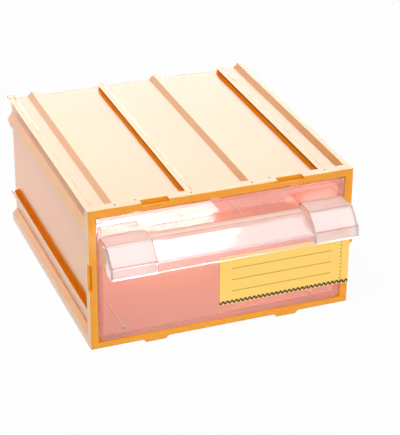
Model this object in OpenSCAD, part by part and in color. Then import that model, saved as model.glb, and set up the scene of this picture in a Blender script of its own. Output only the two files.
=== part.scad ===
// Stackable drawer box: a moulded housing with coupling rails and a clear pull-out drawer.
// Millimetres, +Z up, front faces -Y, origin at the bottom centre of the whole box.

/* [Housing] */
// width of the housing over its side lips
body_w = 172; // [160:1:240]
// depth from the collar's face to the back edge
body_d = 183; // [120:1:300]
// height of the collar
body_h = 95; // [90:1:140]
// thickness of the moulded walls
wall = 1.8; // [1.6:0.1:2.2]
// length of the collar round the front
collar_len = 6.5; // [6:0.5:9]

/* [Coupling rails] */
// how far the lips stand out from the housing's walls
lip_h = 3; // [2.8:0.1:3.2]
// flat width of a lip's tip
lip_tip = 3.5; // [3:0.1:4]
// distance between the middles of the two top channels
channel_pitch = 87.6; // [84:0.2:92]
// opening between the lip tips of a top channel
channel_w = 42.7; // [38:0.1:46]
// height of the side channel's middle above the collar's bottom
side_z = 49.7; // [46:0.1:52]
// opening between the lip tips of the side channel
side_w = 49.5; // [44:0.1:52]
// how far the mating rails reach past the collar
rail_h = 2.7; // [2.5:0.1:2.8]
// clearance between a mating rail and its channel
rail_gap = 0.35; // [0.3:0.05:0.5]
// width of the notches and tabs on the collar
tab_w = 17.4; // [14:0.2:19]

/* [Drawer] */
// clearance between the drawer and the housing
slide_gap = 0.4; // [0.3:0.1:0.6]
// radius of the drawer's bottom corners
drawer_r = 5; // [3:0.5:7]
// how far the handle stands out from the drawer's front
handle_reach = 25.4; // [20:0.2:28]
// height of the handle's bottom edge above the collar's bottom
handle_z = 59.6; // [54:0.2:60]
// width of each end block of the handle
block_w = 30; // [24:0.5:36]
// distance between the two ribs on the drawer's floor
rib_pitch = 125.4; // [100:0.2:130]

/* [Label] */
// width of the front label, up to the perforation
label_w = 82.5; // [60:0.5:100]
// height of the label
label_h = 34; // [24:0.5:38]
// thickness of the label
label_t = 0.15; // [0.1:0.05:0.25]

/* [Hidden] */
$fn = 48;
bottom_in = 2;                                // recess of the underside behind the collar
lip_edge = 0.6;                               // upright part of a lip's tip
lip_slope = 3.2;                              // run of a lip's outer slope on the top
side_slope = 4.6;                             // run of a lip's outer slope on the side
rail_t = 3.4;                                 // thickness of a mating rail
tab_drop = 2;                                 // depth of the notches and tabs
tab_len = 4;                                  // length of the notches, back from the face
bite = 0.8;                                   // how far rails and lips root in the walls
lead_w = 1.5;                                 // lead-in cut on the lips' back ends
lead_l = 5.4;
side_in = lip_h + wall;                       // inside face of the side walls
floor_z = bottom_in + wall;                   // inside face of the housing's floor
roof_z = body_h - lip_h - wall;               // inside face of the housing's top
inner_d = body_d - wall;                      // inside face of the housing's back
centres = [body_w / 2 - channel_pitch / 2, body_w / 2 + channel_pitch / 2];

front_y = 0.4;                                // drawer front, just behind the collar's face
drawer_x0 = side_in + slide_gap;
drawer_x1 = body_w - drawer_x0;
drawer_z0 = floor_z + slide_gap - 0.1;
drawer_top = roof_z - slide_gap;
tub_top = drawer_top - 4;                     // rim of the tub, under the front's top edge
drawer_back = inner_d - 1.6;
rib_w = 2.4;
rib_h = 4;
bead = 3.3;
rib_start = 4.6;                              // from the drawer front's face to a rib's nose

block_top = handle_z + 17.4;
block_nose = 14;                              // depth of a block's level top
block_crease = handle_z + 8;
bar_top = handle_z + 13.8;
bar_nose = 5.4;                               // depth of the bar's level top
bar_crease = handle_z + 7.2;
bar_in = 1;                                   // the bar stands this far behind the blocks
grip_y = front_y - handle_reach;              // the blocks' foremost edge
block_x = [drawer_x0 + 0.7, drawer_x1 - 0.7 - block_w];

label_z0 = 13.8;
label_x1 = drawer_x1;
seal_x0 = body_w - side_in;
seal_len = 5.6;

ox = (body_w + rail_h) / 2;
oy = (body_d + front_y - handle_reach) / 2;
oz = rail_h;

// a profile in X and Z, run along Y
module along_y(y0, y1) translate([0, y1, 0]) rotate([90, 0, 0]) linear_extrude(y1 - y0) children();
// a profile in Y and Z, run along X
module along_x(x0, x1) translate([x0, 0, 0]) rotate([90, 0, 90]) linear_extrude(x1 - x0) children();
module placed() translate([-ox, -oy, oz]) children();
module both() { children(); mirror([1, 0]) children(); }
module right_too() { children(); translate([body_w, 0]) mirror([1, 0]) children(); }

// two lips facing each other across a channel w wide, on a surface at y = 0
module channel_lips(w, run) both() polygon([
    [w / 2, lip_h], [w / 2 + lip_tip, lip_h], [w / 2 + lip_tip + run, 0],
    [w / 2 + lip_tip + run, -bite], [w / 2 + lip_h - lip_edge, -bite],
    [w / 2 + lip_h - lip_edge, 0], [w / 2, lip_h - lip_edge]]);

// two flanges that slide in such a channel; the collar stands out from the surface by base
module mating_rails(w, base) {
    a = w / 2 - rail_gap;
    v1 = base + lip_edge + 0.15;
    v2 = base + rail_h;
    both() polygon([[a, -bite], [a, v1], [a + v2 - v1, v2], [a + v2 - v1 - rail_t, v2],
        [a - rail_t, v1], [a - rail_t, -bite]]);
}

module top_corner() polygon([[0, body_h], [lip_tip, body_h], [lip_tip + lip_slope, body_h - lip_h],
    [lip_tip + lip_slope, body_h - lip_h - bite], [lip_h + bite, body_h - lip_h - bite],
    [lip_h + bite, body_h - lip_h - 4], [lip_h, body_h - lip_h - 4], [0, body_h - 1]]);

module bottom_corner() polygon([[0, 0], [lip_tip, 0], [lip_tip + bottom_in, bottom_in],
    [lip_tip + bottom_in, bottom_in + bite], [lip_h + bite, bottom_in + bite],
    [lip_h + bite, 8.5], [lip_h, 8.5], [0, 5.7]]);

// a tab seen from the front, standing out by tab_drop from y = 0
module tab_face(w) polygon([[-w / 2, bite], [-w / 2, 0], [-w / 2 + 2, -tab_drop],
    [w / 2 - 2, -tab_drop], [w / 2, 0], [w / 2, bite]]);

// lead-in cut at the back end of both tips of a channel w wide, seen from outside
module lead_in(w) both() polygon([[w / 2 - 1, body_d + 1], [w / 2 - 1, body_d - lead_l],
    [w / 2, body_d - lead_l], [w / 2 + lead_w, body_d], [w / 2 + lead_w, body_d + 1]]);

module shell_profile() {
    translate([lip_h, bottom_in]) square([body_w - 2 * lip_h, body_h - lip_h - bottom_in]);
    for (c = centres) translate([c, body_h - lip_h]) channel_lips(channel_w, lip_slope);
    translate([lip_h, side_z]) rotate(90) channel_lips(side_w, side_slope);
    right_too() top_corner();
    right_too() bottom_corner();
}

module housing() color([0.98, 0.62, 0.12]) placed() difference() {
    union() {
        along_y(collar_len, body_d) shell_profile();
        along_y(0, collar_len) square([body_w, body_h]);
        // rails under the floor and on the right side
        along_y(collar_len - 0.5, body_d) {
            for (c = centres) translate([c, bottom_in]) rotate(180) mating_rails(channel_w, bottom_in);
            translate([body_w - lip_h, side_z]) rotate(-90) mating_rails(side_w, lip_h);
        }
        // tabs that drop into the notches of the neighbouring box
        along_y(0, tab_len - rail_gap) {
            for (c = centres) translate([c, 0]) tab_face(tab_w - 2 * rail_gap);
            translate([body_w, side_z]) rotate(90) tab_face(tab_w - 2 * rail_gap);
        }
    }
    translate([side_in, -1, floor_z]) cube([body_w - 2 * side_in, inner_d + 1, roof_z - floor_z]);
    for (c = centres) translate([c - tab_w / 2, -1, body_h - tab_drop])
        cube([tab_w, tab_len + 1, tab_drop + 1]);
    translate([-1, -1, side_z - tab_w / 2]) cube([tab_drop + 1, tab_len + 1, tab_w]);
    for (c = centres) translate([c, 0, body_h - lip_h]) linear_extrude(lip_h + 1) lead_in(channel_w);
    translate([lip_h, 0, side_z]) rotate([0, -90, 0]) linear_extrude(lip_h + 1) lead_in(side_w);
}

// the tub's cross-section with its rounded bottom corners, drawn in by an inset
module tub_profile(inset, top) {
    x0 = drawer_x0 + inset;
    x1 = drawer_x1 - inset;
    z0 = drawer_z0 + inset;
    r = drawer_r - inset;
    translate([x0 + r, z0]) square([x1 - x0 - 2 * r, top - z0]);
    translate([x0, z0 + r]) square([x1 - x0, top - z0 - r]);
    for (x = [x0 + r, x1 - r]) translate([x, z0 + r]) circle(r);
}

// the handle's cross-sections in Y and Z, drawn in by t for the hollow
module block_face(t) polygon([[front_y, block_top - t], [front_y - block_nose + 0.4 * t, block_top - t],
    [grip_y + 1 + 0.95 * t, block_crease - 0.5 * t], [grip_y + t, handle_z - t],
    [front_y, handle_z - t]]);

module bar_face(t) polygon([[front_y, bar_top - t], [front_y - bar_nose + 0.2 * t, bar_top - t],
    [grip_y + bar_in + 1 + 0.9 * t, bar_crease - 0.7 * t], [grip_y + bar_in + t, handle_z - t],
    [front_y, handle_z - t]]);

// a hollow hood, open underneath: two end blocks and a lower bar between them
module handle() difference() {
    union() {
        for (x = block_x) along_x(x, x + block_w) block_face(0);
        along_x(block_x[0] + wall, block_x[1] + block_w - wall) bar_face(0);
    }
    for (x = block_x) along_x(x + wall, x + block_w - wall) block_face(wall);
    along_x(block_x[0] + 2 * wall, block_x[1] + block_w - 2 * wall) bar_face(wall);
}

module floor_rib() {
    y0 = front_y + rib_start;
    hull_len = drawer_back - wall - 8 - y0;
    translate([0, y0 + rib_w / 2, 0]) cylinder(d = rib_w, h = rib_h + 0.5);
    translate([-rib_w / 2, y0 + rib_w / 2, 0]) cube([rib_w, hull_len - rib_w, rib_h + 0.5]);
    translate([0, y0 + hull_len - rib_w / 2, 0]) cylinder(d = rib_w, h = rib_h + 0.5);
}

module drawer() color([0.95, 0.8, 0.75, 0.6]) placed() {
    difference() {
        union() {
            along_y(front_y, drawer_back) tub_profile(0, tub_top);
            along_y(front_y, front_y + wall + 0.2) tub_profile(0, drawer_top);
        }
        along_y(front_y + wall + 0.2, drawer_back - wall) tub_profile(wall, body_h);
    }
    // stiffening bead behind the front's top edge
    translate([drawer_x0 + wall, front_y + wall, drawer_top - bead])
        cube([drawer_x1 - drawer_x0 - 2 * wall, 1.6, bead]);
    handle();
    for (s = [-1, 1]) translate([body_w / 2 + s * rib_pitch / 2, 0, drawer_z0 + wall - 0.5]) floor_rib();
}

module front_label() color([0.98, 0.8, 0.4]) placed()
    translate([label_x1 - label_w, front_y - label_t, label_z0]) cube([label_w, label_t, label_h]);

// the torn-off end of the label: it stays on the collar and goes round its right edge
module seal_tab() color([0.98, 0.8, 0.4]) placed() translate([0, 0, label_z0]) {
    seal_h = min(label_h, side_z - tab_w / 2 - label_z0);
    translate([seal_x0, -label_t, 0]) cube([body_w + label_t - seal_x0, label_t, label_h]);
    translate([body_w, -label_t, 0]) cube([label_t, seal_len, seal_h]);
}

housing();
drawer();
front_label();
seal_tab();
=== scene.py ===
# %% [markdown]
# # Stackable drawer box
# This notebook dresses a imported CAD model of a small-parts drawer box: an orange moulded housing with
# dovetail lips, and a clear drawer with a hood handle. The CAD model is the fixed frame. Every new piece
# is made in the same place, in metres, and rides on one of its two bodies.

# %% The frame
import math

import bmesh
import bpy
from mathutils import Matrix, Quaternion, Vector


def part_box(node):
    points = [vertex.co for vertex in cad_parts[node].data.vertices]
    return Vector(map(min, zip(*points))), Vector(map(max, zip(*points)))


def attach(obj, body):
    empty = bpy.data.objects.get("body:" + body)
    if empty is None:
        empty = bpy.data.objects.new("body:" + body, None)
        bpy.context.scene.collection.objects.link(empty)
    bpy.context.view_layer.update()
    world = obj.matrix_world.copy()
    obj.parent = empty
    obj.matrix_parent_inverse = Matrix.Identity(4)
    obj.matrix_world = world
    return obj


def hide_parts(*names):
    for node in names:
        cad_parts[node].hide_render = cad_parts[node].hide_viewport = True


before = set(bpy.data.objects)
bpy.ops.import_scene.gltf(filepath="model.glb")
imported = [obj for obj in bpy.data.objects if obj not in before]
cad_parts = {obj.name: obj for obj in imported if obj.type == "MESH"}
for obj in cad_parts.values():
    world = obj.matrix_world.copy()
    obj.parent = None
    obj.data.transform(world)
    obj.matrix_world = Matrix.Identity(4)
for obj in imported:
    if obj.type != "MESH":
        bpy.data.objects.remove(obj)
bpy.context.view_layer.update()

# %% [markdown]
# Measuring is easiest from the front collar: x from its left side, y back from its face, z up from its
# bottom edge, in millimetres. One function turns such a measure into the frame's metres.

# %% Measures from the collar
BODY_W, BODY_D, BODY_H = 172.0, 183.0, 95.0
WALL = 1.8
RAILS_BELOW = 2.7  # the mating rails stand out this far under the collar
low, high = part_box("housing")
COLLAR = Vector((low.x, high.y - BODY_D / 1000, RAILS_BELOW / 1000))


def spot(x, y, z):
    return COLLAR + Vector((x, y, z)) / 1000


print("collar corner:", [round(c, 5) for c in COLLAR])

# %% [markdown]
# The camera stands to the left of the box and looks down on it from about 28 degrees, with a long lens,
# so the depth lines run nearly parallel. Its place was worked out from the box's corners in the picture.

# %% Camera
camera = bpy.data.objects.new("camera", bpy.data.cameras.new("camera"))
bpy.context.scene.collection.objects.link(camera)
bpy.context.scene.camera = camera
camera.data.sensor_width = 36
camera.data.lens = 134.9
azimuth, elevation, roll = math.radians(21.03), math.radians(27.65), math.radians(0.42)
forward = Vector((math.sin(azimuth) * math.cos(elevation), math.cos(azimuth) * math.cos(elevation),
                  -math.sin(elevation)))
camera.rotation_mode = "QUATERNION"
camera.location = (-0.32931, -0.89208, 0.53786)
camera.rotation_quaternion = forward.to_track_quat("-Z", "Y") @ Quaternion((0, 0, 1), roll)
print("camera looks along", [round(c, 3) for c in forward])

# %% [markdown]
# ## Solid pieces
# Both mouldings are bars with a constant outline plus a few blocks, joined and cut. They could be modelled
# face by face, but what is joined from closed solids stays closed. A bar starts as one flat face and is
# extruded. Joining and cutting is a Boolean modifier, whose result is kept as the mesh.


# %% Bars from an outline
def extruded(corners, way):
    """A closed bar: one flat face, pushed along a vector in metres."""
    bm = bmesh.new()
    first = bm.faces.new([bm.verts.new(c) for c in corners])
    pushed = bmesh.ops.extrude_face_region(bm, geom=[first], use_keep_orig=True)
    moved = [g for g in pushed["geom"] if isinstance(g, bmesh.types.BMVert)]
    bmesh.ops.translate(bm, vec=way, verts=moved)
    bmesh.ops.recalc_face_normals(bm, faces=bm.faces)
    return bm


def bar(outline, start, end, along="y"):
    """A closed bar in mm. Its outline is in x and z for a bar along y, in y and z for one along x, and in
    x and y for one along z."""
    if along == "x":
        return extruded([spot(start, a, b) for a, b in outline], Vector((end - start, 0, 0)) / 1000)
    if along == "y":
        return extruded([spot(a, start, b) for a, b in outline], Vector((0, end - start, 0)) / 1000)
    return extruded([spot(a, b, start) for a, b in outline], Vector((0, 0, end - start)) / 1000)


def block(x0, x1, y0, y1, z0, z1):
    return bar([(x0, z0), (x1, z0), (x1, z1), (x0, z1)], y0, y1)


def soften(bm, width, segments=3, angle=30):
    """Rounds the edges that are sharper than the angle, in mm and degrees."""
    sharp = [e for e in bm.edges if len(e.link_faces) == 2 and e.calc_face_angle() > math.radians(angle)]
    bmesh.ops.bevel(bm, geom=sharp, offset=width / 1000, offset_type="OFFSET", segments=segments,
                    profile=0.5, affect="EDGES", material=-1, clamp_overlap=True)
    return bm


def disc(middle, radius, height, axis="Z", tilt=0.0):
    """A short round bar that is centred on a point in mm; tilt turns it about x, in degrees."""
    bm = bmesh.new()
    bmesh.ops.create_cone(bm, cap_ends=True, segments=20, radius1=radius / 1000, radius2=radius / 1000,
                          depth=height / 1000)
    turn = {"Z": Matrix(), "X": Matrix.Rotation(math.pi / 2, 4, "Y")}[axis]
    place = Matrix.Translation(spot(*middle)) @ Matrix.Rotation(math.radians(tilt), 4, "X") @ turn
    bmesh.ops.transform(bm, matrix=place, verts=bm.verts)
    return bm


trial = block(0, 10, 0, 10, 0, 10)
print("a block has", len(trial.faces), "faces and", sum(not e.is_manifold for e in trial.edges), "open edges")
trial.free()


# %% Joining and cutting
def as_object(name, bm):
    mesh = bpy.data.meshes.new(name)
    bm.to_mesh(mesh)
    bm.free()
    piece = bpy.data.objects.new(name, mesh)
    bpy.context.scene.collection.objects.link(piece)
    return piece


def join_and_cut(name, start, steps):
    """Adds (+) or cuts away (-) each shape in turn and keeps the result as one plain mesh."""
    piece = as_object(name, start)
    for sign, shape in steps:
        tool = as_object("tool", shape)
        boolean = piece.modifiers.new("boolean", "BOOLEAN")
        boolean.operation = "UNION" if sign == "+" else "DIFFERENCE"
        boolean.solver = "EXACT"
        boolean.object = tool
        bpy.context.view_layer.update()
        evaluated = piece.evaluated_get(bpy.context.evaluated_depsgraph_get())
        result = bpy.data.meshes.new_from_object(evaluated)
        piece.modifiers.clear()
        piece.data = result
        bpy.data.objects.remove(tool)
    bm = bmesh.new()
    bm.from_mesh(piece.data)
    bmesh.ops.remove_doubles(bm, verts=bm.verts, dist=2e-6)
    bmesh.ops.dissolve_limit(bm, angle_limit=math.radians(0.5), verts=bm.verts, edges=bm.edges)
    bm.to_mesh(piece.data)
    print(name, "has", len(bm.faces), "faces,", sum(not e.is_manifold for e in bm.edges), "open edges")
    bm.free()
    piece.data.name = name
    return piece


def finish_piece(piece, body, material, stands_for, rounding=0.0):
    """Smooth shading, rounded edges in mm, its material, and the body it moves with."""
    piece.data.materials.clear()
    piece.data.materials.append(material)
    for polygon in piece.data.polygons:
        polygon.use_smooth = True
    if rounding:
        edges = piece.modifiers.new("rounded edges", "BEVEL")
        edges.width = rounding / 1000
        edges.segments = 2
        edges.limit_method = "ANGLE"
        edges.angle_limit = math.radians(30)
    else:
        piece.data.set_sharp_from_angle(angle=math.radians(30))
    flats = piece.modifiers.new("flat faces", "WEIGHTED_NORMAL")
    flats.keep_sharp = True
    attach(piece, body)
    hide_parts(stands_for)


# %% [markdown]
# ## Finishes
# Colours are written as they look on a screen and turned linear in one place. One function adds a shader
# node and connects it.

# %% Colours and nodes
def linear(code):
    parts = [int(code[i:i + 2], 16) / 255 for i in (1, 3, 5)]
    return [p / 12.92 if p <= 0.04045 else ((p + 0.055) / 1.055) ** 2.4 for p in parts] + [1.0]


def add(tree, kind, settings=None, **links):
    """Adds one node. Settings are its own properties. Links give its sockets, by name or as i and a
    number, and each takes a value or another node's output."""
    node = tree.nodes.new(kind)
    for key, value in (settings or {}).items():
        setattr(node, key, value)
    for key, value in links.items():
        numbered = key[0] == "i" and key[1:].isdigit()
        socket = node.inputs[int(key[1:])] if numbered else node.inputs[key.replace("_", " ")]
        if isinstance(value, bpy.types.NodeSocket):
            tree.links.new(value, socket)
        else:
            socket.default_value = value
    return node


def new_material(name):
    material = bpy.data.materials.new(name)
    material.use_nodes = True
    material.node_tree.nodes.clear()
    return material, material.node_tree


print("the housing's orange in linear light:", [round(part, 3) for part in linear("#eda11b")])

# %% [markdown]
# The housing is polypropylene, injection moulded and dyed orange. The mould is only half polished, so
# the surface is semi-gloss with a very fine grain. Light passes a few millimetres into it, which brightens
# the thin lips and the shadows under them.

# %% Orange moulded polypropylene
def orange_polypropylene():
    material, tree = new_material("orange moulded polypropylene")
    place = add(tree, "ShaderNodeTexCoord")
    clouds = add(tree, "ShaderNodeTexNoise", Vector=place.outputs["Object"], Scale=18.0, Detail=2.0)
    tint = add(tree, "ShaderNodeMix", {"data_type": "RGBA"}, i0=clouds.outputs["Fac"],
               i6=linear("#eda11b"), i7=linear("#efa721"))
    # mould grain, about 0.4 mm across
    grain = add(tree, "ShaderNodeTexNoise", Vector=place.outputs["Object"], Scale=2500.0, Detail=1.0)
    bump = add(tree, "ShaderNodeBump", Strength=0.06, Distance=0.00003, Height=grain.outputs["Fac"])
    surface = add(tree, "ShaderNodeBsdfPrincipled", Base_Color=tint.outputs[2], Roughness=0.2, IOR=1.5,
                  Normal=bump.outputs["Normal"], Subsurface_Weight=0.9, Subsurface_Radius=(1.0, 0.35, 0.05),
                  Subsurface_Scale=0.004)
    add(tree, "ShaderNodeOutputMaterial", Surface=surface.outputs["BSDF"])
    return material


# injection-moulded polypropylene, dyed through: a waxy orange, whose thin parts glow a little
POLYPROPYLENE = orange_polypropylene()
print("made", POLYPROPYLENE.name)


# %% [markdown]
# The drawer is crystal polystyrene, injection moulded in one shot. It bends light more than glass does,
# which draws its edges and the corners of the hollow handle as bright and dark lines. It is one plastic
# with six finishes, two of them tinted rosy as a painted glow of the orange around them. The clear share
# says how much light goes straight through, and the rest is scattered. Light that falls through it onto
# other things passes unchanged, which saves a long search for caustics.

# %% Clear polystyrene
def clear_polystyrene(name, clear_share, roughness, gloss=0.0, tint="#fef2f3"):
    material, tree = new_material(name)
    surface = add(tree, "ShaderNodeBsdfPrincipled", Base_Color=linear(tint), IOR=1.59, Roughness=roughness,
                  Transmission_Weight=clear_share, Coat_Weight=gloss, Coat_Roughness=0.02)
    rays = add(tree, "ShaderNodeLightPath")
    clear = add(tree, "ShaderNodeBsdfTransparent", Color=(1, 1, 1, 1))
    passing = add(tree, "ShaderNodeMath", {"operation": "MAXIMUM"}, i0=rays.outputs["Is Shadow Ray"],
                  i1=rays.outputs["Is Diffuse Ray"])
    both = add(tree, "ShaderNodeMixShader", i0=passing.outputs[0], i1=surface.outputs["BSDF"],
               i2=clear.outputs["BSDF"])
    add(tree, "ShaderNodeOutputMaterial", Surface=both.outputs["Shader"])
    return material


# as it leaves a polished mould, water-clear: the inside of the tub
POLYSTYRENE = clear_polystyrene("clear moulded polystyrene", 0.97, 0.03)
# a little hazy from handling, under a sharp gloss: the front panel and the front of the handle's bar
HAZY = clear_polystyrene("clear polystyrene with light haze", 0.94, 0.02, 0.7)
# grained finely by the mould, for grip, which makes it milky: the handle's flat sides
GRAINED = clear_polystyrene("clear polystyrene with fine grain", 0.64, 0.045, 0.0, "#f6eeee")
# rubbed dull, tinted rosy as a painted glow of the orange housing behind it: the tub's outer faces, which
# slide in it
RUBBED_WITH_PAINTED_GLOW = clear_polystyrene("clear polystyrene rubbed dull by sliding", 0.48, 0.12, 0.0, "#f89d9b")
# clearer than the flats, with a painted rosy line along it for the orange light around it: the handle's
# rounded edges
ROUNDED_WITH_PAINTED_ROSE = clear_polystyrene("clear polystyrene on rounded edges", 0.8, 0.03, 0.0, "#f9d9dc")
# worn or cut, so that it catches the light as a pale line: the ribs, the handle's lower edge and flat tops
FROSTED = clear_polystyrene("clear polystyrene with frosted edges", 0.4, 0.12)
print("made", [m.name for m in (POLYSTYRENE, HAZY, GRAINED, RUBBED_WITH_PAINTED_GLOW, ROUNDED_WITH_PAINTED_ROSE, FROSTED)])


# %% [markdown]
# The label is coated paper, printed yellow, with a plain zigzag border along its foot, ruled lines for
# writing on and a line of perforation at its right end. Ink is too thin to model, so the marks are a
# pattern in the material, and the perforation's holes are painted in it too, dark with painted shade.
# Each is worked out from a point's place, so it stays sharp close up, which a picture of it would not.

# %% Printed label paper
LABEL_LEFT, LABEL_FOOT, LABEL_TOP = 84.3, 13.8, 47.8
RULED_LEFT, RULED_RIGHT = 92, 160
PERFORATION = 166.5
# The rest is in metres, as the shader measures, and heights are over the label's foot.
ZIGZAG_FOOT, TOOTH_W, TOOTH_H = 0.0003, 0.003, 0.0026
ZIGZAG_INK = 0.44  # half the height of the ink, as a share of a tooth's height
RULED_LOW, RULED_HIGH = 0.008, 0.028
FIRST_ROW, ROW_STEP, ROW_INK = 0.0092, 0.008, 0.0004
HOLES_LOW, FIRST_HOLE, HOLE_STEP, HOLE_RADIUS = 0.003, 0.004, 0.00265, 0.00042


def printed_label():
    material, tree = new_material("yellow coated label paper")
    place = add(tree, "ShaderNodeTexCoord")
    split = add(tree, "ShaderNodeSeparateXYZ", Vector=place.outputs["Object"])
    x, y, z = split.outputs["X"], split.outputs["Y"], split.outputs["Z"]

    def calc(how, a, b=0.0):
        return add(tree, "ShaderNodeMath", {"operation": how}, i0=a, i1=b).outputs[0]

    def between(value, least, most):
        return calc("MULTIPLY", calc("GREATER_THAN", value, least), calc("LESS_THAN", value, most))

    foot = spot(0, 0, LABEL_FOOT).z
    # x plus y carries the zigzag on round the folded end
    rise = calc("DIVIDE", calc("SUBTRACT", z, foot + ZIGZAG_FOOT), TOOTH_H)
    along = calc("ADD", x, y)
    tooth = calc("MULTIPLY", calc("PINGPONG", calc("DIVIDE", along, TOOTH_W), 0.5), 2.0)
    line = calc("LESS_THAN", calc("ABSOLUTE", calc("SUBTRACT", rise, tooth)), ZIGZAG_INK)
    zigzag = calc("MULTIPLY", line, between(rise, 0.0, 1.0))
    rows = calc("PINGPONG", calc("SUBTRACT", z, foot + FIRST_ROW), ROW_STEP / 2)
    ruled_area = calc("MULTIPLY", between(z, foot + RULED_LOW, foot + RULED_HIGH),
                      between(x, spot(RULED_LEFT, 0, 0).x, spot(RULED_RIGHT, 0, 0).x))
    ruled = calc("MULTIPLY", calc("LESS_THAN", rows, ROW_INK / 2), ruled_area)
    down = calc("PINGPONG", calc("SUBTRACT", z, foot + FIRST_HOLE), HOLE_STEP / 2)
    across = calc("SUBTRACT", x, spot(PERFORATION, 0, 0).x)
    away = calc("SQRT", calc("ADD", calc("MULTIPLY", down, down), calc("MULTIPLY", across, across)))
    holes = calc("MULTIPLY", calc("LESS_THAN", away, HOLE_RADIUS),
                 calc("GREATER_THAN", z, foot + HOLES_LOW))
    mark = calc("MAXIMUM", zigzag, calc("MULTIPLY", ruled, 0.75))
    paper = add(tree, "ShaderNodeTexNoise", Vector=place.outputs["Object"], Scale=400.0, Detail=2.0)
    yellow = add(tree, "ShaderNodeMix", {"data_type": "RGBA"}, i0=paper.outputs["Fac"],
                 i6=linear("#fecf66"), i7=linear("#ffd26d"))
    inked = add(tree, "ShaderNodeMix", {"data_type": "RGBA"}, i0=mark, i6=yellow.outputs[2],
                i7=linear("#1c1917"))
    # the holes are painted, not cut: a dark orange-brown, painted shade for the plastic seen through them
    holes_in_painted_shade = add(tree, "ShaderNodeMix", {"data_type": "RGBA"}, i0=holes, i6=inked.outputs[2],
                  i7=linear("#8a6428"))
    surface = add(tree, "ShaderNodeBsdfPrincipled", Base_Color=holes_in_painted_shade.outputs[2], Roughness=0.55, IOR=1.5)
    add(tree, "ShaderNodeOutputMaterial", Surface=surface.outputs["BSDF"])
    return material


# coated paper, offset printed: an even yellow, almost matt, with crisp black marks
LABEL_PAPER = printed_label()
print("made", LABEL_PAPER.name)

# %% [markdown]
# ## The housing
# Seen from the front, the shell behind the collar has one outline: thin walls with leaning lips on the top
# and the left, which form dovetail channels, and flanges below and on the right that slide in the channels
# of a neighbouring box. It could be built from plates and strips, but one outline, walked once round and
# extruded from the collar to the back, keeps channels and rails true to each other over the whole depth.

# %% Outline of the shell
CHANNELS = (42.2, 129.8)  # middles of the top channels, from the left
SIDE = 49.7  # middle of the side channel, from below
TOP, FOOT, INSET = 92.0, 2.0, 3.0  # the shell stands back this far from the collar's top, foot and sides
HALF, SIDE_HALF = 21.35, 24.75  # half a channel, between its lips' tips
RAIL_HALF, SIDE_RAIL_HALF = 21.0, 24.4  # half a mating rail, over its flanges
LIP, UNDERCUT, TIP = 3.0, 2.4, 3.5  # a lip's height, its undercut's, and the width of its tip
SLOPE, SIDE_SLOPE = 3.2, 4.6  # how far a lip's outer slope runs out
RAIL, BEND, FLANGE = 2.7, 0.75, 3.4  # a rail's height, the height of its bend, and its thickness
LOW_FLARE, HIGH_FLARE = (5.7, 8.5), (88, 94)  # heights between which the walls lean out to the full width


def lips(half, run):
    """One side of a channel, from its undercut to the foot of the lip: distance from the middle, height."""
    return [(half + UNDERCUT, 0), (half, UNDERCUT), (half, LIP), (half + TIP, LIP), (half + TIP + run, 0)]


def flanges(half, base):
    """One flange of a mating rail, from its outer foot round to its inner foot."""
    tip, bend = base + RAIL, base + BEND
    lean = tip - bend
    return [(half, 0), (half, bend), (half + lean, tip), (half + lean - FLANGE, tip), (half - FLANGE, bend),
            (half - FLANGE, 0)]


left = [(INSET, LOW_FLARE[1])]
left += [(INSET - h, SIDE - d) for d, h in reversed(lips(SIDE_HALF, SIDE_SLOPE))]
left += [(INSET - h, SIDE + d) for d, h in lips(SIDE_HALF, SIDE_SLOPE)]
left += [(INSET, HIGH_FLARE[0]), (0, HIGH_FLARE[1])]
top = [(0, BODY_H), (TIP, BODY_H), (TIP + SLOPE, TOP)]
for middle in CHANNELS:
    top += [(middle - d, TOP + h) for d, h in reversed(lips(HALF, SLOPE))]
    top += [(middle + d, TOP + h) for d, h in lips(HALF, SLOPE)]
top += [(BODY_W - TIP - SLOPE, TOP), (BODY_W - TIP, BODY_H), (BODY_W, BODY_H)]
right = [(BODY_W, HIGH_FLARE[1]), (BODY_W - INSET, HIGH_FLARE[0])]
right += [(BODY_W - INSET + h, SIDE + d) for d, h in flanges(SIDE_RAIL_HALF, INSET)]
right += [(BODY_W - INSET + h, SIDE - d) for d, h in reversed(flanges(SIDE_RAIL_HALF, INSET))]
right += [(BODY_W - INSET, LOW_FLARE[1]), (BODY_W, LOW_FLARE[0])]
under = [(BODY_W, 0), (BODY_W - TIP, 0), (BODY_W - TIP - FOOT, FOOT)]
for middle in reversed(CHANNELS):
    under += [(middle + d, FOOT - h) for d, h in flanges(RAIL_HALF, FOOT)]
    under += [(middle - d, FOOT - h) for d, h in reversed(flanges(RAIL_HALF, FOOT))]
under += [(TIP + FOOT, FOOT), (TIP, 0), (0, 0), (0, LOW_FLARE[0])]
OUTLINE = left + top + right + under
print("the outline has", len(OUTLINE), "corners")

# %% [markdown]
# The collar is a plain frame round the front. It has a notch in the top over each channel and one on the
# left, and a tab under each rail and on the right, so that stacked boxes snap together.

# %% Housing
COLLAR_D = 6.5
OVERLAP = 0.5  # joined shapes run into each other this far
OUTSIDE, ABOVE = -1, BODY_H + 2  # cuts start and end in the air, past the solid
CAVITY = (4.8, 167.2, OUTSIDE, 181.2, 3.8, 90.2)
NOTCH_HALF, NOTCH_D, NOTCH_L = 8.7, 2, 4  # half its width, its depth and its length
TAB_HALF, TAB_L, TAB_ROOT = 8.35, 3.65, 0.8  # the root is what is sunk into the collar
LEAD, LEAD_WIDTH = 5.4, 1.5  # the wedge cut at the back end of a lip's tip
PIN_RADIUS, PIN_DEPTH = 0.7, 0.7


def tab(middle, across, out):
    """Outline of a tab: across is the direction it is wide in, out the one it stands out in."""
    slope = TAB_HALF - NOTCH_D
    shape = [(-TAB_HALF, TAB_ROOT), (-TAB_HALF, 0), (-slope, -NOTCH_D), (slope, -NOTCH_D), (TAB_HALF, 0),
             (TAB_HALF, TAB_ROOT)]
    return [tuple(Vector(middle) + Vector(across) * u - Vector(out) * v) for u, v in shape]


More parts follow.
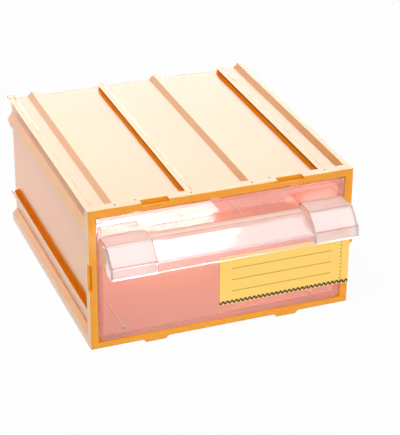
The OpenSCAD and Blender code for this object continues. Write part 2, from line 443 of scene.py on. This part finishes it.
def lead_in(edge, way):
    """The cut that opens the back end of a lip's tip, for sliding boxes together."""
    return [(edge - way, BODY_D + 1), (edge - way, BODY_D - LEAD), (edge, BODY_D - LEAD),
            (edge + LEAD_WIDTH * way, BODY_D), (edge + LEAD_WIDTH * way, BODY_D + 1)]


steps = [("+", block(0, BODY_W, 0, COLLAR_D, 0, BODY_H))]
steps += [("+", bar(tab((m, 0), (1, 0), (0, -1)), 0, TAB_L)) for m in CHANNELS]
steps += [("+", bar(tab((BODY_W, SIDE), (0, 1), (1, 0)), 0, TAB_L))]
for m in CHANNELS:
    notch = block(m - NOTCH_HALF, m + NOTCH_HALF, OUTSIDE, NOTCH_L, BODY_H - NOTCH_D, ABOVE)
    steps += [("-", notch)]
steps += [("-", block(OUTSIDE, NOTCH_D, OUTSIDE, NOTCH_L, SIDE - NOTCH_HALF, SIDE + NOTCH_HALF))]
steps += [("-", block(*CAVITY))]
for m in CHANNELS:
    steps += [("-", bar(lead_in(m + way * HALF, way), TOP + 0.01, ABOVE, "z")) for way in (-1, 1)]
for way in (-1, 1):
    wedge = [(y, z) for z, y in lead_in(SIDE + way * SIDE_HALF, way)]
    steps += [("-", bar(wedge, OUTSIDE, INSET - 0.01, "x"))]
# small round marks that the ejector pins leave on the collar, in line with the lips
TOP_PINS = ((18, 3.3), (31.1, 5.6), (66.1, 3.3), (105.5, 3.3), (118.2, 5.6), (154.3, 4.2))
SIDE_PINS = ((3.2, 74.5), (3.2, 21.4))
steps += [("-", disc((x, y, BODY_H), PIN_RADIUS, 2 * PIN_DEPTH)) for x, y in TOP_PINS]
steps += [("-", disc((0, y, z), PIN_RADIUS, 2 * PIN_DEPTH, "X")) for y, z in SIDE_PINS]
housing = join_and_cut("housing_shell", bar(OUTLINE, COLLAR_D - OVERLAP, BODY_D), steps)
finish_piece(housing, "housing", POLYPROPYLENE, "housing", rounding=0.35)

# %% [markdown]
# ## The drawer
# The drawer is one clear moulding: a tub with rounded bottom corners, a front that fills the collar, two
# low ribs on the floor and the hood handle. Clear plastic shows every inner face, so all of it has to be
# one closed mesh, with real wall thickness and rounded inner corners.

# %% Tub
LEFT, RIGHT, BOTTOM = 5.2, 166.8, 4.1
FRONT, FRONT_INSIDE, BACK_INSIDE, BACK = 0.4, 2.4, 177.8, 179.6
FRONT_TOP, TUB_TOP = 89.2, 85.8
CORNER = 5  # radius of the bottom corners
RIBS, RIB_HALF, RIB_FRONT, RIB_BACK, RIB_TOP = (23.3, 148.7), 1.2, 6.2, 168.6, 9.9


def tub_outline(inset, top, steps=6):
    """The tub seen from the front, drawn in by the inset; steps is how finely its corners are rounded."""
    x0, x1, z0 = LEFT + inset, RIGHT - inset, BOTTOM + inset
    r = CORNER - inset
    turn = [math.radians(90 * i / steps) for i in range(steps + 1)]
    right_corner = [(x1 - r + r * math.sin(t), z0 + r - r * math.cos(t)) for t in turn]
    left_corner = [(x0 + r - r * math.cos(t), z0 + r - r * math.sin(t)) for t in turn]
    return left_corner + right_corner + [(x1, top), (x0, top)]


def rib(x):
    """A low rib along the floor, with round ends; its foot is sunk into the floor."""
    turn = [math.radians(180 * i / 8) for i in range(9)]
    nose = [(x - RIB_HALF * math.cos(t), RIB_FRONT - RIB_HALF * math.sin(t)) for t in turn]
    tail = [(x + RIB_HALF * math.cos(t), RIB_BACK + RIB_HALF * math.sin(t)) for t in turn]
    return soften(bar(nose + tail, BOTTOM + WALL - OVERLAP, RIB_TOP, "z"), 0.4)


# the hollow's top ends in the air, so that only its lower corners are seen
hollow = soften(bar(tub_outline(WALL, ABOVE + 2), FRONT_INSIDE, BACK_INSIDE), 3.4, 5, 50)
front = soften(bar(tub_outline(0, FRONT_TOP), FRONT, FRONT_INSIDE), 0.3)
# a bead behind the front's top edge stiffens it
bead = soften(block(7.0, 165.0, 2.2, 3.8, 86.5, FRONT_TOP), 0.4)
tub = [("+", front), ("-", hollow), ("+", bead)]
tub += [("+", rib(x)) for x in RIBS]
# three low pads on the top edge, which would keep the closed front from rattling
PADS, PAD_HALF = (30, 80, 132.5), 3.3
tub += [("+", soften(block(x - PAD_HALF, x + PAD_HALF, 0.6, 3.4, 88.6, 90.1), 0.25)) for x in PADS]
print("the tub is made in", len(tub), "steps")

# %% [markdown]
# The handle is a hood, open underneath: two wedge-shaped end blocks and a lower bar between them. Its
# outside is joined from rounded solids. The same outlines drawn in by the wall cut the hollow, which keeps
# the wall even, as a moulding needs it.

# %% Hood handle
HOOD_FOOT, REACH = 59.6, -25.0
BLOCKS, BLOCK_W, BLOCK_H = (5.9, 136.1), 30, 17.4
BAR_LEFT, BAR_RIGHT, BAR_H = 8, 164, 13.8
BEHIND = 1.4  # the hood reaches this far into the front, to join it


def block_outline(t, back):
    """An end block seen from the left, in y and z, drawn in by t; back is where it meets the front."""
    return [(back, HOOD_FOOT + BLOCK_H - t), (-13.6 + 0.4 * t, HOOD_FOOT + BLOCK_H - t),
            (REACH + 1 + 0.95 * t, HOOD_FOOT + 8 - 0.5 * t), (REACH + t, HOOD_FOOT - t),
            (back, HOOD_FOOT - t)]


def bar_outline(t, back):
    """The bar between the blocks, in the same way."""
    return [(back, HOOD_FOOT + BAR_H - t), (-5 + 0.2 * t, HOOD_FOOT + BAR_H - t),
            (REACH + 2 + 0.9 * t, HOOD_FOOT + 7.2 - 0.7 * t), (REACH + 1 + t, HOOD_FOOT - t),
            (back, HOOD_FOOT - t)]


hood = [("+", soften(bar(block_outline(0, BEHIND), x, x + BLOCK_W, "x"), 1.2, 3, 10)) for x in BLOCKS]
hood += [("+", soften(bar(bar_outline(0, BEHIND), BAR_LEFT, BAR_RIGHT, "x"), 0.8, 3, 10))]
# the ring where the plastic entered the mould, on the bar's slope of about 20 degrees
BAR_SLOPE = 20.1
GATE_X, GATE_Y, GATE_Z = 90, -14.2, 70.1
hood += [("+", disc((GATE_X, GATE_Y, GATE_Z), 1.5, 0.9, "Z", BAR_SLOPE))]
hood += [("-", disc((GATE_X, GATE_Y, GATE_Z + 0.5), 0.9, 0.9, "Z", BAR_SLOPE))]
for x in BLOCKS:
    inner = bar(block_outline(WALL, FRONT), x + WALL, x + BLOCK_W - WALL, "x")
    hood += [("-", soften(inner, 0.8, 3, 10))]
hood += [("-", soften(bar(bar_outline(WALL, FRONT), BAR_LEFT + 1.5, BAR_RIGHT - 1.5, "x"), 0.5, 3, 10))]
drawer = join_and_cut("clear_drawer", bar(tub_outline(0, TUB_TOP), 1.0, BACK), tub + hood)
finish_piece(drawer, "drawer", POLYSTYRENE, "drawer")

# %% [markdown]
# One mesh can carry several materials, one per face. Each face of the drawer gets one of the six finishes,
# by where it lies and which way it looks, so the mesh stays one closed solid.

# %% The drawer's finishes
FINISHES = [POLYSTYRENE, HAZY, GRAINED, RUBBED_WITH_PAINTED_GLOW, FROSTED, ROUNDED_WITH_PAINTED_ROSE]
# which way the hood's flat sides look: its ends, the flat tops, the slopes and the fronts
HOOD_SIDES = [Vector(n).normalized() for n in ((1, 0, 0), (0, 0, 1), (0, -9.4, 10.4), (0, -8, 1),
                                               (0, -6.6, 18), (0, -7.2, 1))]


def finish_of(polygon):
    """The finish of one face; across, back and up place its middle, in mm from the collar."""
    across, back, up = (polygon.center - COLLAR) * 1000
    normal = polygon.normal
    near_rib = min(abs(across - x) for x in RIBS) < RIB_HALF + 0.2 and 6 < up < RIB_TOP + 0.1
    rib_edge = near_rib and 0.2 < normal.z < 0.95
    on_hood = back < FRONT - 0.1
    lower_edge = back < -20 and up < HOOD_FOOT + 1.2
    flat_top = on_hood and normal.z > 0.99
    if rib_edge or lower_edge or flat_top:
        return FROSTED
    between_blocks = BLOCKS[0] + BLOCK_W < across < BLOCKS[1]
    if between_blocks and -25 < back < -21.5 and abs(normal.y) > 0.9:
        return HAZY
    if on_hood:
        flat = max(abs(normal.dot(side)) for side in HOOD_SIDES) > 0.985
        return GRAINED if flat else ROUNDED_WITH_PAINTED_ROSE
    beside = min(across - LEFT, RIGHT - across) < 1.6 and normal.x * (across - BODY_W / 2) > 0
    below = up < 5.8 and normal.z < 0
    if (beside or below) and back < 179 and abs(normal.y) < 0.7:
        return RUBBED_WITH_PAINTED_GLOW
    return HAZY if back < FRONT_INSIDE + 0.1 else POLYSTYRENE


for material in FINISHES[1:]:
    drawer.data.materials.append(material)
for polygon in drawer.data.polygons:
    polygon.material_index = FINISHES.index(finish_of(polygon))
counts = [sum(p.material_index == i for p in drawer.data.polygons) for i in range(len(FINISHES))]
print("faces per finish:", counts)

# %% [markdown]
# ## The label
# The label runs from the drawer's front over the collar. It tears at the perforation, so its end on the
# collar is a piece of its own, folded round the right edge. A thin box stands for each sheet, because a
# plane has no edge and no inside.

# %% Label and seal
PAPER = 0.15
TORN, GAP = 167.2, 0.03  # where the collar's part starts, and how far before it the drawer's part ends
FOLD_DEPTH, FOLD_TOP = 5.45, 41  # the part round the edge stops below the tab


def sheet_label(name, boxes, body, node):
    steps = [("+", block(*b)) for b in boxes[1:]]
    piece = join_and_cut(name, block(*boxes[0]), steps)
    finish_piece(piece, body, LABEL_PAPER, node)


front_sheet = (LABEL_LEFT, TORN - GAP, FRONT - PAPER, FRONT, LABEL_FOOT, LABEL_TOP)
on_collar = (TORN, BODY_W + PAPER, -PAPER, 0, LABEL_FOOT, LABEL_TOP)
round_the_edge = (BODY_W, BODY_W + PAPER, -PAPER, FOLD_DEPTH, LABEL_FOOT, FOLD_TOP)
sheet_label("front_sticker", [front_sheet], "drawer", "front_label")
sheet_label("seal_sticker", [on_collar, round_the_edge], "housing", "seal_tab")

# %% [markdown]
# ## Floor and light
# The floor and the surround are plain white to the camera, and shed little light themselves. Polished
# plastic looks as it does because of what it mirrors, so most lamps here only show in gloss: a broad one
# behind the box pales its top, strips over it brighten the handle, and bright cards on the floor in front
# make the white patch on the drawer's front. The light that falls on things comes from the upper left,
# from a long softbox in front and from two weak ones behind and on the right.

# %% Floor
def white_floor():
    material, tree = new_material("white studio floor")
    rays = add(tree, "ShaderNodeLightPath")
    diffuse = add(tree, "ShaderNodeBsdfDiffuse", Color=linear("#e6e6e6"))
    glow = add(tree, "ShaderNodeEmission", Color=(1, 1, 1, 1), Strength=1.0)
    shown = add(tree, "ShaderNodeMath", {"operation": "MAXIMUM"}, i0=rays.outputs["Is Camera Ray"],
                i1=rays.outputs["Is Glossy Ray"])
    shown = add(tree, "ShaderNodeMath", {"operation": "MAXIMUM"}, i0=shown.outputs[0],
                i1=rays.outputs["Is Transmission Ray"])
    # the rest of the share keeps the box's shadow on the floor
    share = add(tree, "ShaderNodeMath", {"operation": "MULTIPLY"}, i0=shown.outputs[0], i1=0.97)
    mixed = add(tree, "ShaderNodeMixShader", i0=share.outputs[0], i1=diffuse.outputs[0], i2=glow.outputs[0])
    add(tree, "ShaderNodeOutputMaterial", Surface=mixed.outputs["Shader"])
    return material


floor_bm = bmesh.new()
bmesh.ops.create_grid(floor_bm, x_segments=1, y_segments=1, size=6.0)
floor = as_object("floor", floor_bm)
# a painted studio floor, matt: white all over but for the box's faint shadow
floor.data.materials.append(white_floor())
print("the floor is", [round(d, 1) for d in floor.dimensions], "m")


# %% Surround
def white_surround():
    """White when it is seen, half as bright when it is mirrored, and dim as a source of light."""
    world = bpy.data.worlds.new("white surround")
    world.use_nodes = True
    tree = world.node_tree
    tree.nodes.clear()
    rays = add(tree, "ShaderNodeLightPath")
    seen = add(tree, "ShaderNodeBackground", Color=(1, 1, 1, 1), Strength=1.0)
    mirrored = add(tree, "ShaderNodeBackground", Color=(1, 1, 1, 1), Strength=0.5)
    lit = add(tree, "ShaderNodeBackground", Color=(1, 1, 1, 1), Strength=0.11)
    straight = add(tree, "ShaderNodeMath", {"operation": "MAXIMUM"}, i0=rays.outputs["Is Camera Ray"],
                   i1=rays.outputs["Is Transmission Ray"])
    mixed = add(tree, "ShaderNodeMixShader", i0=rays.outputs["Is Glossy Ray"], i1=lit.outputs[0],
                i2=mirrored.outputs[0])
    mixed = add(tree, "ShaderNodeMixShader", i0=straight.outputs[0], i1=mixed.outputs[0],
                i2=seen.outputs[0])
    add(tree, "ShaderNodeOutputWorld", Surface=mixed.outputs["Shader"])
    return world


bpy.context.scene.world = white_surround()
print("made", bpy.context.scene.world.name)


# %% Lamps
def softbox(name, away, distance, size, radiance):
    """An area lamp that faces the box from the direction away; distance and size in metres."""
    lamp = bpy.data.lights.new(name, "AREA")
    lamp.shape = "RECTANGLE"
    lamp.size, lamp.size_y = size
    lamp.energy = radiance * math.pi * size[0] * size[1]
    piece = bpy.data.objects.new(name, lamp)
    bpy.context.scene.collection.objects.link(piece)
    direction = Vector(away).normalized()
    piece.location = Vector((0, 0, 0.05)) + direction * distance
    piece.rotation_mode = "QUATERNION"
    piece.rotation_quaternion = direction.to_track_quat("Z", "Y")
    piece.visible_camera = False
    return piece


def level_lamp(name, place, size, radiance):
    """An area lamp at a place in metres, which faces straight down."""
    lamp = softbox(name, (0, 0, 1), 1, size, radiance)
    lamp.location = place
    return lamp


def card(name, place, size, radiance):
    """A lamp that lies flat and faces straight up."""
    lamp = level_lamp(name, place, size, radiance)
    lamp.rotation_quaternion = (0, 1, 0, 0)
    return lamp


def only_mirrored(lamp):
    """The lamp shows in gloss but sheds no light."""
    lamp.visible_diffuse = False
    return lamp


def only_for(lamp, receiver):
    """The lamp works on one piece only."""
    group = bpy.data.collections.new(lamp.name + "_receivers")
    group.objects.link(receiver)
    lamp.light_linking.receiver_collection = group


# each row: name, direction from the box, distance, size, radiance
MIRRORED_BY_ALL = (
    ("back_softbox", (0.346, 0.769, 0.537), 1.5, (0.9, 0.34), 5.6),
    ("low_back_softbox", (0.394, 0.877, 0.276), 1.5, (0.9, 0.53), 4.3),
    ("back_left_softbox", (-0.5, 0.83, 0.24), 1.5, (0.9, 0.7), 2.9),
    ("key_softbox", (0.22, 0.24, 0.95), 1.05, (0.2, 0.2), 9))
LIGHTING = (
    ("left_key", (-0.34, -0.1, 0.93), 1.5, (0.35, 0.35), 25),
    ("front_softbox", (-0.05, -0.96, 0.115), 1.6, (1.0, 0.3), 16.2),
    ("back_fill", (0.25, 0.95, 0.15), 1.5, (0.9, 0.4), 7),
    ("right_fill", (0.95, 0.1, 0.15), 1.5, (0.9, 0.4), 7))
# each row: name, place, size, radiance
STRIPS = (
    ("top_softbox", (0.36, -0.51, 1.05), (0.42, 0.2), 3.2),
    ("bar_strip", (0.2575, 0.24, 0.98), (0.115, 0.1), 4),
    ("bar_side_strip", (0.41, 0.24, 0.98), (0.19, 0.1), 2.8))
CARDS = (
    ("near_card", (0.002, -0.21835, 0.001), (0.092, 0.0131), 720),
    ("corner_card", (-0.0205, -0.23065, 0.0012), (0.045, 0.0085), 560),
    ("far_card", (0.007, -0.23645, 0.001), (0.096, 0.0231), 4.5),
    ("mid_card", (0.079, -0.2175, 0.001), (0.058, 0.0114), 60),
    ("end_card", (0.1325, -0.222, 0.001), (0.026, 0.02), 300),
    ("right_card", (0.1025, -0.2365, 0.001), (0.095, 0.03), 0.5))

for row in MIRRORED_BY_ALL:
    only_mirrored(softbox(*row))
for row in LIGHTING:
    softbox(*row)
for row in STRIPS:
    only_for(only_mirrored(level_lamp(*row)), drawer)
# the floor on the left, which the housing's left wall mirrors
only_mirrored(card("table_glow", (low.x - 0.35, 0.2, 0.001), (0.7, 0.8), 0.6))
for row in CARDS:
    only_for(only_mirrored(card(*row)), drawer)
only_shown = len(MIRRORED_BY_ALL) + len(STRIPS) + 1 + len(CARDS)
print(len(LIGHTING), "lamps light the box, and", only_shown, "only show in its gloss")

# %% [markdown]
# Two more lamps stand for light that is slow to trace: what gathers in the clear handle, and the glow that
# comes through the orange walls into the box. They light things but are never seen.

# %% Glow
hood_light = level_lamp("hood_light", (0, -0.09, 1), (0.3, 0.3), 2.4)
only_for(hood_light, drawer)
inside_glow = level_lamp("inside_glow", spot(BODY_W / 2, 92, 90.1), (0.15, 0.16), 0.78)
# greener than the real glow, because the orange walls swallow green and blue at every bounce
inside_glow.data.color = (0.82, 1.5, 0.9)
for lamp in (hood_light, inside_glow):
    lamp.visible_glossy = False
    lamp.visible_transmission = False
# light bounces many times inside a closed orange box
cycles = bpy.context.scene.cycles
cycles.max_bounces = 48
cycles.diffuse_bounces = 24
cycles.transmission_bounces = 24
cycles.transparent_max_bounces = 64

# %% Look
bpy.context.scene.view_settings.view_transform = "Standard"
